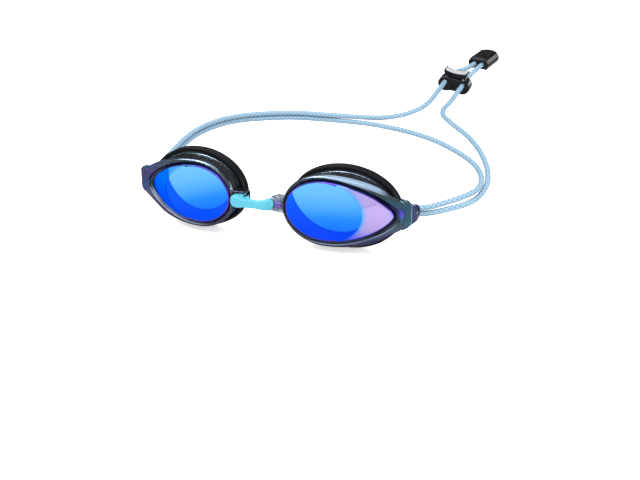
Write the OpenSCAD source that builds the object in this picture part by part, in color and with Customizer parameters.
// Swim goggles: two smoke eyecups with mirror lenses and silicone gaskets, a flexible
// nose bridge, and a bungee cord head strap with a cord lock and a moulded cord end.
// Frame: millimetres, +X to the wearer's left, +Y back towards the face, +Z up.
// Origin: midway between the two lens centres, on the front plane of the lenses.

/* [Eyecups] */
// Distance between the two lens centres
lens_spacing = 68; // [66:0.5:70]
// Angle each cup is turned back towards the temple, degrees
splay = 3.7; // [2:0.1:5]
// Angle each cup drops towards the temple, degrees
cant = 1.5; // [0:0.1:2.5]
// Half width of the flat oval window
window_a = 18.4; // [17.5:0.1:19]
// Half height of the flat oval window
window_b = 13.8; // [13:0.1:14.2]
// Distance from lens centre to the temple tip of the lens
lens_tip = 32; // [31:0.1:32.5]
// Slope of the temple facet, degrees
facet_angle = 27; // [20:1:30]
// Height of the arm at the temple
arm_h = 10.4; // [9:0.1:11]

/* [Lens] */
// Thickness of the lens
lens_t = 2.0; // [1.6:0.1:2.2]

/* [Gasket] */
// Half height of the gasket outline
gasket_b = 19.9; // [19:0.1:20.5]
// Depth from the lens plane to the sealing edge of the gasket
gasket_depth = 15.4; // [15:0.1:17]

/* [Nose bridge] */
// Height of the bridge strip
bridge_h = 4.8; // [4.2:0.1:5.2]
// Thickness of the bridge strip
bridge_t = 2.4; // [2:0.1:2.8]
// Distance of each clip peg from the centre
clip_x = 10; // [9.8:0.1:10.2]
// Diameter of the clip pegs
peg_d = 1.4; // [1.2:0.1:1.6]

/* [Cord] */
// Diameter of the bungee cord
cord_d = 2.7; // [2.2:0.1:2.8]
// Diameter of the rubber core
core_d = 1.3; // [0.9:0.1:1.4]
// Rise of the strap towards the back, degrees
strap_rise = 14; // [5:1:20]
// Diameter of the cord pins
pin_d = 1.6; // [1.2:0.1:1.7]

/* [Cord lock] */
// Distance between the two cord holes
lock_pitch = 10; // [9.6:0.1:10.4]
// Length of the lock body
lock_w = 18.4; // [18:0.1:19]
// Depth of the lock body along the cord
lock_t = 7.2; // [6.8:0.1:8]
// Travel of the button
button_travel = 2; // [1.5:0.1:2]

/* [Cord end] */
// Width of the cord end
end_w = 12.6; // [12:0.1:14]
// Length of the cord end
end_l = 17; // [16:0.5:20]
// Height of the cord end
end_h = 7; // [6.6:0.1:8]

/* [Detail] */
// Number of points round each eyecup
ring_n = 56; // [40:4:64]

/* [Hidden] */
smoke = [0.16, 0.18, 0.26, 0.85];
mirror_blue = [0.1, 0.45, 0.95];
black = [0.06, 0.06, 0.07];
aqua = [0.43, 0.86, 0.93];
sky = [0.66, 0.83, 0.93];

cup_x = lens_spacing / 2;
// nose side edge of the window
nose_edge = cup_x - window_a;
// cord pins, on one line parallel to X
pin_x = cup_x + 37.3;
pin_y = 14.9;
pin_z = 0.6;
// radius of the cord's centre line round a pin
turn_r = pin_d / 2 + cord_d / 2 + 0.15;
// bores that the cord runs through
snug_bore = cord_d + 0.3;
loose_bore = cord_d + 0.7;

// ---------- vectors and lofted solids ----------
function unit(v) = v / norm(v);
function mix(a, b, part) = a * (1 - part) + b * part;
function reverse(list) = [for (i = [len(list) - 1:-1:0]) list[i]];
function flipped(faces) = [for (face = faces) reverse(face)];

// triangles between two rings of points, given the index of the first point of each
function band(row, next, sides) = [for (j = [0:sides - 1]) let(k = (j + 1) % sides)
    each [[row + j, row + k, next + k], [row + j, next + k, next + j]]];
function wall(rings, sides, base = 0) =
    [for (i = [0:rings - 2]) each band(base + i * sides, base + (i + 1) * sides, sides)];
function ring_face(base, sides) = [for (j = [0:sides - 1]) base + j];
// wall closed by a flat cap at each end
function capped(rings, sides) = concat([reverse(ring_face(0, sides))],
    [ring_face((rings - 1) * sides, sides)], wall(rings, sides));

// closed ring of sections
module ring_loft(sections) {
    count = len(sections);
    sides = len(sections[0]);
    polyhedron(points = [for (section = sections) each section],
        faces = flipped(concat(wall(count, sides), band((count - 1) * sides, 0, sides))));
}
// stack of rings closed by a flat cap at each end
module disc_loft(rings) {
    polyhedron(points = [for (ring = rings) each ring],
        faces = capped(len(rings), len(rings[0])));
}

// rod or tube swept along a path, with frames carried along without twist
function tangent(path, i) = unit(path[min(i + 1, len(path) - 1)] - path[max(i - 1, 0)]);
// part of v square to the tangent, as a unit vector
function square_to(v, along) = unit(v - (v * along) * along);
function frames(path) = [for (i = 0, v = square_to([0, 0, 1], tangent(path, 0)); i < len(path);
    i = i + 1, v = i < len(path) ? square_to(v, tangent(path, i)) : v) v];
function rings_along(path, radius, sides) = let(normals = frames(path))
    [for (i = [0:len(path) - 1]) let(u = normals[i], w = cross(tangent(path, i), u))
        for (j = [0:sides - 1]) let(angle = 360 * (j + 0.5) / sides)
            path[i] + radius * (cos(angle) * u + sin(angle) * w)];
// corners lie just inside those of a polygon drawn round the circle
function corner_r(radius, sides) = (radius / cos(180 / sides)) * 0.985;
module rod(path, radius, sides) {
    polyhedron(points = rings_along(path, corner_r(radius, sides), sides),
        faces = flipped(capped(len(path), sides)));
}
module tube(path, radius, bore_r, sides) {
    count = len(path);
    bore = count * sides;
    last = bore - sides;
    polyhedron(
        points = concat(rings_along(path, corner_r(radius, sides), sides),
            rings_along(path, bore_r, sides)),
        faces = concat(flipped(wall(count, sides)), wall(count, sides, bore),
            band(0, bore, sides), band(bore + last, last, sides)));
}

// ---------- placing ----------
module box(corner, size) { translate(corner) cube(size); }
// side 1 is left, +X; side -1 is its mirror image
module sided(side) {
    if (side > 0) children();
    else mirror([1, 0, 0]) children();
}
module on_cup(side) { sided(side) translate([cup_x, 0, 0]) rotate([0, cant, splay]) children(); }
// frame of the strap: x across, y back along the strap plane, z out of it, x axis on the pins
module on_strap() { translate([0, pin_y, pin_z]) rotate([strap_rise, 0, 0]) children(); }

// ---------- outlines of the eyecup, in the cup's own x (temple) and z ----------
// angles run round the lens centre: 0 at the temple, 90 at the top
ring_angles = [for (i = [0:ring_n - 1]) 360 * (i + 0.5) / ring_n];
// flange that carries the gasket
flange_y = 11.2;
flange_t = 1.1;
flange_back = flange_y + flange_t;

function signed_pow(v, power) = sign(v) * pow(abs(v), power);
function ease(from, to, v) = let(k = max(0, min(1, (v - from) / (to - from)))) k * k * (3 - 2 * k);
// narrows the rim beside the nose
function slim(ang) = 1 - 0.42 * max(0, -cos(ang));
// 1 at the temple tip, fading to 0 away from it
function temple(ang) = pow(max(0, cos(ang)), 6);
// edge of the lens: half an oval on the nose side, an almond on the temple side
function lens_edge(ang) = let(half_h = window_b + 0.4) cos(ang) > 0
    ? [lens_tip * cos(ang), half_h * signed_pow(sin(ang), 1 + 0.44 * min(1, 3 * cos(ang)))]
    : [(window_a + 0.5) * cos(ang), half_h * sin(ang)];
// edge of the gasket and of its flange
function gasket_edge(ang) = [6.6 + 27.6 * cos(ang), gasket_b * sin(ang)];
// outer shoulder, running out into the temple arm, flatter below
function shoulder(ang) = let(half_h = window_b + 3.4) cos(ang) > 0
    ? [min(44 * cos(ang), 37.6 - 0.6 * abs(sin(ang))),
       half_h * signed_pow(sin(ang), 1 + 0.42 * min(1, 3 * cos(ang))
           + (sin(ang) < 0 ? 0.6 * ease(0.45, 0.75, cos(ang)) : 0))]
    : [(window_a + 2.5) * cos(ang), half_h * sin(ang)];
// 1 on the edge of the oval window, more outside it
function window_ratio(p) = sqrt(pow(p[0] / window_a, 2) + pow(p[1] / window_b, 2));
function window_edge(ang, part) = let(p = lens_edge(ang)) part * p / window_ratio(p);
// depth of the front surface: flat inside the window, falling back outside it
function front_y(p) = let(ratio = window_ratio(p), slope = p[0] > 0 ? 1 : 0.5)
    ratio <= 1 ? 0 : slope * tan(facet_angle) * norm(p) * (1 - 1 / ratio);

// outward normal by central differences
function outward(before, after) = let(d = after - before) unit([d[1], -d[0]]);
function lens_off(ang, step) =
    lens_edge(ang) + outward(lens_edge(ang - 0.8), lens_edge(ang + 0.8)) * step;
function gasket_off(ang, step) =
    gasket_edge(ang) + outward(gasket_edge(ang - 0.8), gasket_edge(ang + 0.8)) * step;
// inward steps go towards the lens centre, so that they can't fold over at the tip
function lens_in(ang, step) = lens_edge(ang) - step * unit(lens_edge(ang));
function at_depth(p, y) = [p[0], y, p[1]];

// ---------- eyecups ----------
// closed section: rim round the lens, outer wall, flange, inner wall, seat of the lens
function cup_section(ang) = let(
    front = front_y(lens_edge(ang)),
    tip = 1.6 * temple(ang),
    width = slim(ang),
    side = shoulder(ang),
    side_y = front + 1.5 - 0.6 * temple(ang),
    wall_foot = gasket_off(ang, -3.2),
    flange_in = gasket_off(ang, -4.9),
    seat = lens_in(ang, 1.7))
  [ at_depth(lens_off(ang, 0.25), front + 1.3),
    at_depth(lens_off(ang, 1.0 * width + tip), front + 1.1),
    at_depth(lens_off(ang, 1.6 * width + tip), front - 0.1),
    at_depth(lens_off(ang, 2.1 * width + tip), front - 0.25),
    at_depth(mix(lens_off(ang, 2.7 * width + tip), side, 0.35), front + 0.15),
    at_depth(side, side_y),
    at_depth(mix(side, wall_foot, 0.5), mix(side_y, flange_y, 0.38)),
    at_depth(wall_foot, flange_y - 0.3),
    at_depth(gasket_off(ang, -1.0), flange_y),
    at_depth(gasket_off(ang, -1.0), flange_back),
    at_depth(flange_in, flange_back),
    at_depth(mix(lens_off(ang, 0.6), flange_in, 0.5), mix(front + 3.4, flange_y, 0.5)),
    at_depth(lens_in(ang, 0.5), front + 3.6 - 0.5 * temple(ang)),
    at_depth(seat, front_y(seat) + 3.3),
    at_depth(seat, front_y(seat) + lens_t + 0.15),
    at_depth(lens_off(ang, 0.25), front + lens_t + 0.05) ];

arm_t = 6.4;
cheek_r = 3.7;
slot_w = cord_d + 1.9;
// seen from above: [x, y]
arm_plan = [
    [cup_x + 33.2, 11.2], [cup_x + 34.2, 9.3], [cup_x + 36.4, 9.05], [pin_x + 0.6, 9.1],
    [pin_x + 1.6, 9.6], [pin_x + 2.4, 10.2], [pin_x + 2.85, 11.1], [pin_x + 3.1, 12.4],
    [pin_x + arm_t / 2, 14], [pin_x + arm_t / 2, 30], [pin_x - arm_t / 2, 30],
    [pin_x - arm_t / 2, 12.4], [cup_x + 33.6, 12.1]];
// seen from the side: [y, z] from the pin
arm_profile = [
    [-7, -arm_h / 2 - 3], [-4.5, -arm_h / 2 - 1.4], [-2, -arm_h / 2 + 0.3],
    [0.9, -cheek_r + 0.1], [0.9, cheek_r - 0.1],
    [-2, arm_h / 2 + 0.1], [-4.5, arm_h / 2 + 1.8], [-7, arm_h / 2 + 3.6]];
// seen along Y: [x, z]
arm_front = [
    [cup_x + 32, -8.9], [cup_x + 37.6, -5.7], [pin_x + 2.2, -3.9], [pin_x + 5, -2.4],
    [pin_x + 5, 3.9], [pin_x + 2.2, 5.8], [cup_x + 37.6, 7.3], [cup_x + 32, 9.6]];

// temple arm: fork with two cheeks, where its three outlines cross
module arm(side) {
    sided(side) difference() {
        intersection() {
            translate([0, 0, -15]) linear_extrude(30) polygon(arm_plan);
            translate([0, pin_y, pin_z]) rotate([90, 0, 90]) linear_extrude(200) union() {
                circle(r = cheek_r, $fn = 48);
                polygon(arm_profile);
            }
            translate([0, 60, 0]) rotate([90, 0, 0]) linear_extrude(80) polygon(arm_front);
        }
        // slot for the cord loop, open at the back, top and bottom
        box([pin_x - slot_w / 2 + 0.1, pin_y - turn_r - cord_d / 2 - 0.45, -20],
            [slot_w, 40, 40]);
        translate([pin_x - 20, pin_y, pin_z]) rotate([0, 90, 0])
            cylinder(d = pin_d + 0.5, h = 40, $fn = 32);
    }
}

// axis of the clip pegs
clip_y = 3.4;
module peg_bore(x) { translate([x, clip_y, -5]) cylinder(d = peg_d + 0.1, h = 10, $fn = 32); }

// left cup: buckle tab with a pocket for the bridge tongue, and its own peg
buckle_x = 7.4;
buckle_h = 6.6;
buckle_root_x = 12.7;
module tab_buckle() {
    difference() {
        box([buckle_x, 0.7, -buckle_h / 2], [nose_edge - 1.4 - buckle_x, 5.3, buckle_h]);
        box([5, clip_y - 2.1, -bridge_h / 2 - 0.25], [7.5, 4.2, bridge_h + 0.5]);
    }
    box([buckle_root_x, 2.4, -buckle_h / 2], [nose_edge - buckle_root_x, 3.6, buckle_h]);
    translate([clip_x, clip_y, -3]) cylinder(d = peg_d, h = 6, $fn = 32);
}

// right cup: knuckle for the bridge's fork, inside a housing open to the front and the nose
housing_h = 7.5;
knuckle_h = 3;
module tab_knuckle() {
    difference() {
        union() {
            box([-14.4, 0.95, -housing_h / 2], [7.2, 5.35, housing_h]);
            box([-nose_edge, 2.4, -housing_h / 2], [3, 3.9, housing_h]);
        }
        box([-12.4, -1, -3.1], [7, 6.7, 6.2]);
    }
    difference() {
        union() {
            box([-nose_edge, clip_y - 0.9, -knuckle_h / 2], [nose_edge - clip_x, 1.8, knuckle_h]);
            translate([-clip_x, clip_y, -knuckle_h / 2])
                cylinder(r = 1.6, h = knuckle_h, $fn = 40);
        }
        peg_bore(-clip_x);
    }
}
module eyecup(side) {
    union() {
        on_cup(side) ring_loft([for (ang = ring_angles) cup_section(ang)]);
        arm(side);
    }
}
module eyecup_left() {
    color(smoke) union() {
        eyecup(1);
        tab_buckle();
    }
}
module eyecup_right() {
    color(smoke) union() {
        eyecup(-1);
        tab_knuckle();
    }
}

// ---------- lenses ----------
// from the front face, round the edge, to the back face
function lens_section(ang) = let(
    front = front_y(lens_edge(ang)),
    shelf = lens_off(ang, -0.3),
    edge = lens_off(ang, 0.1))
  [ at_depth(window_edge(ang, 0.995), -0.3),
    at_depth(shelf, front_y(shelf) - 0.28),
    at_depth(edge, front + 0.15),
    at_depth(edge, front + lens_t - 0.05),
    at_depth(window_edge(ang, 0.94), lens_t - 0.25) ];
module lens(side) {
    sections = [for (ang = ring_angles) lens_section(ang)];
    on_cup(side) disc_loft([for (i = [0:4]) [for (section = sections) section[i]]]);
}
module lens_left() { color(mirror_blue) lens(1); }
module lens_right() { color(mirror_blue) lens(-1); }

// ---------- gaskets ----------
// closed section, wrapped round the flange with a hair of clearance
gasket_gap = 0.06;
function gasket_section(ang) = [for (station = [
        // [step out from the gasket edge, depth]
        [-2.0, flange_y - 0.9], [-0.4, flange_y - 1.0], [0.1, flange_y - 0.5],
        [0.1, flange_y + 0.7], [-0.55, flange_y + 1.4], [0.3, flange_y + 2.2],
        [0.25, gasket_depth - 0.9], [-0.7, gasket_depth], [-2.3, gasket_depth],
        [-4.0, gasket_depth - 0.7], [-5.2, gasket_depth - 1.9],
        [-5.2, flange_back + gasket_gap], [-0.85, flange_back + gasket_gap],
        [-0.85, flange_y - gasket_gap], [-2.0, flange_y - 0.2]])
    at_depth(gasket_off(ang, station[0]), station[1])];
module gasket(side) { on_cup(side) ring_loft([for (ang = ring_angles) gasket_section(ang)]); }
module gasket_left() { color(black) gasket(1); }
module gasket_right() { color(black) gasket(-1); }

// ---------- nose bridge ----------
arc_r = 10.6;
arc_front = -2.4;
tongue_x = 5.8;
fork_h = 5.8;
plate_h = 5.4;
plate_y = -3.4;
module bridge_arc() {
    translate([0, 0, -bridge_h / 2]) linear_extrude(bridge_h) intersection() {
        translate([0, arc_r + arc_front]) difference() {
            circle(r = arc_r, $fn = 96);
            circle(r = arc_r - bridge_t, $fn = 96);
        }
        polygon([[-8.6, -5], [7, -5], [7, 4.1], [0, 8], [-8.6, 4.1]]);
    }
}
module bridge_strip() {
    difference() {
        union() {
            bridge_arc();
            // tongue with its knuckle, for the buckle of the left cup
            box([tongue_x, clip_y - 1.2, -bridge_h / 2], [clip_x - tongue_x, 2.0, bridge_h]);
            translate([clip_x, clip_y, -bridge_h / 2]) cylinder(r = 1.9, h = bridge_h, $fn = 40);
            // fork with its cover plate, for the knuckle of the right cup
            box([-clip_x, 0.2, -fork_h / 2], [clip_x - 6.4, 5.2, fork_h]);
            translate([-clip_x, clip_y, -fork_h / 2]) cylinder(r = 1.75, h = fork_h, $fn = 40);
            box([-10.9, plate_y, -plate_h / 2], [3.6, 3.9, plate_h]);
            box([-14.8, plate_y, -plate_h / 2], [6, 1.4, plate_h]);
        }
        peg_bore(clip_x);
        // flat on the back of the arc, where it rests on the nose
        box([-2, 0, -5], [4, 2, 10]);
        // gap of the fork
        box([-20, clip_y - 1.85, -1.7], [20 - clip_x + 1.85, 6, 3.4]);
    }
}
module nose_bridge() {
    color(aqua) bridge_strip();
    color(aqua) translate([-clip_x, clip_y, -2.6]) cylinder(d = peg_d, h = 5.2, $fn = 32);
}

// ---------- cord ----------
module cord_pin(side) {
    color("silver") sided(side) translate([pin_x - arm_t / 2 + 0.15, pin_y, pin_z])
        rotate([0, 90, 0]) cylinder(d = pin_d, h = arm_t - 0.3, $fn = 32);
}
module cord_pin_left() { cord_pin(1); }
module cord_pin_right() { cord_pin(-1); }

// places of the lock and the cord end in the strap frame
lock_x = 47.6;
lock_y = 138;
lock_roll = 10;
end_x = 53;
end_y = 162;
end_turn = -12.5;
// the lock's two holes, right and left; the right one is raised, the left one lowered
right_x = lock_x - lock_pitch / 2 * cos(lock_roll);
left_x = lock_x + lock_pitch / 2 * cos(lock_roll);
hole_z = lock_pitch / 2 * sin(lock_roll);
// distance of each knot from the middle of the cord end
knot_x = 2.45;

// point x, y of the cord end, in the strap frame
function end_point(x, y) = [end_x + x * cos(end_turn) - y * sin(end_turn),
    end_y + x * sin(end_turn) + y * cos(end_turn), 0];
// last points of a strand, into the cord end; lead shifts the first one sideways
function tail(x, lead) = [end_point(x + lead, -7), end_point(x, -0.6), end_point(x, 5.4)];

// two strands leave the right temple one above the other and stay stacked round the back
// [x, y, factor on the half spacing of the strands]
stacked_run = [
    [-71.3, 3.6, 1.38], [-71.4, 9, 1.07], [-71.7, 16, 1], [-72.3, 25, 1], [-72.9, 34, 1],
    [-72.8, 41, 1], [-72, 48.2, 1], [-68.7, 57, 1], [-62.8, 64.8, 1], [-54.4, 70.9, 1],
    [-43.7, 75.3, 1], [-33.5, 78.4, 1], [-22.8, 80.5, 1], [-11, 81.3, 1]];
function stacked(z) = [for (p = stacked_run) [p[0], p[1], z * p[2]]];

// control points of the three runs: [x, y, z] in the strap frame
// upper strand, from the right pin to the cord end
upper_run = concat([[-pin_x, 0.3, turn_r]], stacked(1.47), [
    [-0.5, 81.9, 1.45], [15.5, 83.2, 1.3], [26, 85.6, 1.1], [34.2, 91, 0.95],
    [39.3, 98, hole_z], [41.9, 105, hole_z], [right_x, 112.5, hole_z],
    [right_x, 118.1, hole_z], [right_x, 130.1, hole_z], [right_x, 142.4, hole_z],
    [right_x + 1.3, 149.2, hole_z * 0.5]], tail(-knot_x, -0.9));
// lower strand, from the right pin to the left pin
lower_run = concat([[-pin_x, 0.3, -turn_r]], stacked(-1.47), [
    [-0.5, 81.6, -1.45], [16, 81.3, -1.3], [28.3, 79.2, -1], [40.3, 75.9, -0.5],
    [52.5, 71.4, -0.2], [62.7, 66.4, 0], [74.6, 58.7, 0], [84, 50.9, 0], [90.4, 42.7, -0.1],
    [93.9, 34.1, -0.2], [94, 25.5, -0.1], [90.6, 17.5, 0.8], [85, 11.8, 0.4],
    [79.3, 8.8, -0.8], [75.2, 7.1, -1.4], [72.6, 5.5, -1.05], [pin_x + 0.05, 3.7, 0.1],
    [pin_x + 0.02, 1.95, 1.75], [pin_x, 0.3, turn_r]]);
// from the left pin to the cord end
return_run = concat([
    [pin_x, 0.3, -turn_r], [pin_x + 0.02, 2.2, -2.85], [pin_x + 0.35, 3.9, -3.55],
    [73.1, 5.6, -4.15], [75.7, 7, -4.4], [79.7, 8.4, -3.9], [86.2, 11, -2.5],
    [92.2, 16.1, -2.2], [95.4, 24.6, -2.8], [96.3, 34.1, -2.1], [94.4, 43.1, -1.1],
    [90, 53.1, -0.3], [83.4, 64.1, 0], [75, 75.1, 0], [67, 83.1, 0], [59.8, 90.1, 0],
    [54.3, 96.7, -hole_z * 0.3], [52, 103.5, -hole_z * 0.6], [left_x - 0.3, 110.8, -hole_z],
    [left_x, 116.5, -hole_z], [left_x, 130.1, -hole_z], [left_x, 142.4, -hole_z],
    [left_x + 0.4, 149.2, -hole_z * 0.5]], tail(knot_x, 0.3));

// smooth curve through control points
span_steps = 3;
function spline(a, b, c, d, t) = 0.5 * ((2 * b) + (c - a) * t
    + (2 * a - 5 * b + 4 * c - d) * t * t + (3 * b - a - 3 * c + d) * t * t * t);
function smooth(p) = let(last = len(p) - 1) [
    for (i = [0:last - 1]) for (k = [0:span_steps - 1])
        spline(i > 0 ? p[i - 1] : 2 * p[0] - p[1], p[i], p[i + 1],
            i < last - 1 ? p[i + 2] : 2 * p[last] - p[last - 1], k / span_steps),
    p[last]];
// half turn round the front of a pin, from top to bottom
function pin_turn(side) = [for (k = [1:7]) let(angle = 90 + 180 * k / 8)
    [side * pin_x, turn_r * cos(angle), turn_r * sin(angle)]];
cord_path = concat(reverse(smooth(upper_run)), pin_turn(-1), smooth(lower_run), pin_turn(1),
    smooth(return_run));

module cord_sheath() { color(sky) on_strap() tube(cord_path, cord_d / 2, core_d / 2 + 0.15, 8); }
module cord_core() { color("dimgray") on_strap() rod(cord_path, core_d / 2, 6); }
module on_end() { translate([end_x, end_y, 0]) rotate([0, 0, end_turn]) children(); }
module cord_knots() {
    color(sky) on_strap() on_end() for (x = [-1, 1]) translate([x * knot_x, 6.6, 0]) difference() {
        sphere(r = 2.15, $fn = 32);
        translate([0, -5, 0]) rotate([-90, 0, 0]) cylinder(d = snug_bore, h = 5, $fn = 32);
    }
}

// ---------- cord lock ----------
body_top = 3;
lobe_r = 4.4;
plunger_w = 12.2;
head_w = 13.2;
saddle_r = 18;
module on_lock() { translate([lock_x, lock_y, 0]) rotate([0, lock_roll, 0]) children(); }
// outline in x and z
module lock_outline() {
    for (x = [-1, 1]) translate([x * (lock_w / 2 - lobe_r), -1.4]) circle(r = lobe_r, $fn = 64);
    translate([-5.6, -4.9]) square([11.2, 7.9]);
    translate([-6.9, -1]) square([13.8, body_top + 1]);
}
module cord_holes(d, h) {
    for (x = [-1, 1]) translate([x * lock_pitch / 2, h / 2, 0]) rotate([90, 0, 0])
        cylinder(d = d, h = h, $fn = 40);
}
module lock_body() {
    color(black) on_strap() on_lock() difference() {
        translate([0, lock_t / 2, 0]) rotate([90, 0, 0]) linear_extrude(lock_t) lock_outline();
        cord_holes(loose_bore, 20);
        // pocket of the plunger, open and wider at the top
        box([-6.25, -2.05, -4.2], [12.5, 4.1, 20]);
        box([-6.25, -2.75, 1.4], [12.5, 5.5, 20]);
        // recess in the front face, between the holes
        translate([0, -lock_t / 2 - 1, -1]) rotate([-90, 0, 0])
            cylinder(d = 2.4, h = 1.6, $fn = 32);
    }
}
module lock_button() {
    color(black) on_strap() on_lock() difference() {
        union() {
            box([-plunger_w / 2, -1.9, -1.9], [plunger_w, 3.8, 7.4]);
            box([-plunger_w / 2, -2.6, 3.5], [plunger_w, 5.2, 2]);
            // saddle shaped head
            translate([0, 2.9, 0]) rotate([90, 0, 0]) linear_extrude(5.8) difference() {
                translate([-head_w / 2, 5.15]) square([head_w, 2.1]);
                translate([0, 5.95 + saddle_r]) circle(r = saddle_r, $fn = 120);
            }
        }
        // cord windows, long enough for the travel
        cord_holes(snug_bore, 10);
        translate([0, 0, button_travel]) cord_holes(snug_bore, 10);
        for (x = [-1, 1])
            box([x * lock_pitch / 2 - snug_bore / 2, -5, 0], [snug_bore, 10, button_travel]);
        // bore for the spring
        translate([0, 0, -2.5]) cylinder(d = 3.2, h = 6, $fn = 32);
    }
}

spring_r = 1.15;
spring_bottom = -3.9;
spring_top = 3.15;
spring_turns = 6;
spring_steps = 96;
wire_r = 0.22;
spring_path = [for (i = [0:spring_steps]) let(angle = 360 * spring_turns * i / spring_steps)
    [spring_r * cos(angle), spring_r * sin(angle),
     mix(spring_bottom, spring_top, i / spring_steps)]];
module lock_spring() { color("silver") on_strap() on_lock() rod(spring_path, wire_r, 6); }

// ---------- cord end ----------
end_step = 1.2;
end_wall = 1.3;
module end_outline(inset = 0) {
    half_w = end_w / 2 - inset;
    nose_r = end_w * 0.62;
    union() {
        translate([-half_w, inset]) square([2 * half_w, end_l - end_w / 2]);
        intersection() {
            translate([0, end_l - nose_r]) circle(r = nose_r - inset, $fn = 64);
            translate([-half_w, 0]) square([2 * half_w, end_l]);
        }
    }
}
// one half: a plate with a smaller step on its outer face
module end_half(flip) {
    color(black) on_strap() on_end() mirror([0, 0, flip]) difference() {
        union() {
            translate([0, 0, 0.02]) linear_extrude(end_h / 2 - end_step) end_outline();
            translate([0, 0, end_h / 2 - end_step - 0.01]) linear_extrude(end_step)
                end_outline(1.1);
        }
        // chamber of the knots
        box([-end_w / 2 + end_wall, 4.1, -1], [end_w - 2 * end_wall, 6.4, 3.3]);
        for (x = [-1, 1]) translate([x * knot_x, -1, 0]) rotate([-90, 0, 0])
            cylinder(d = loose_bore, h = 8, $fn = 32);
    }
}
module cord_end_upper() { end_half(0); }
module cord_end_lower() { end_half(1); }

eyecup_left();
eyecup_right();
lens_left();
lens_right();
gasket_left();
gasket_right();
nose_bridge();
cord_pin_left();
cord_pin_right();
cord_sheath();
cord_core();
cord_knots();
lock_body();
lock_button();
lock_spring();
cord_end_upper();
cord_end_lower();
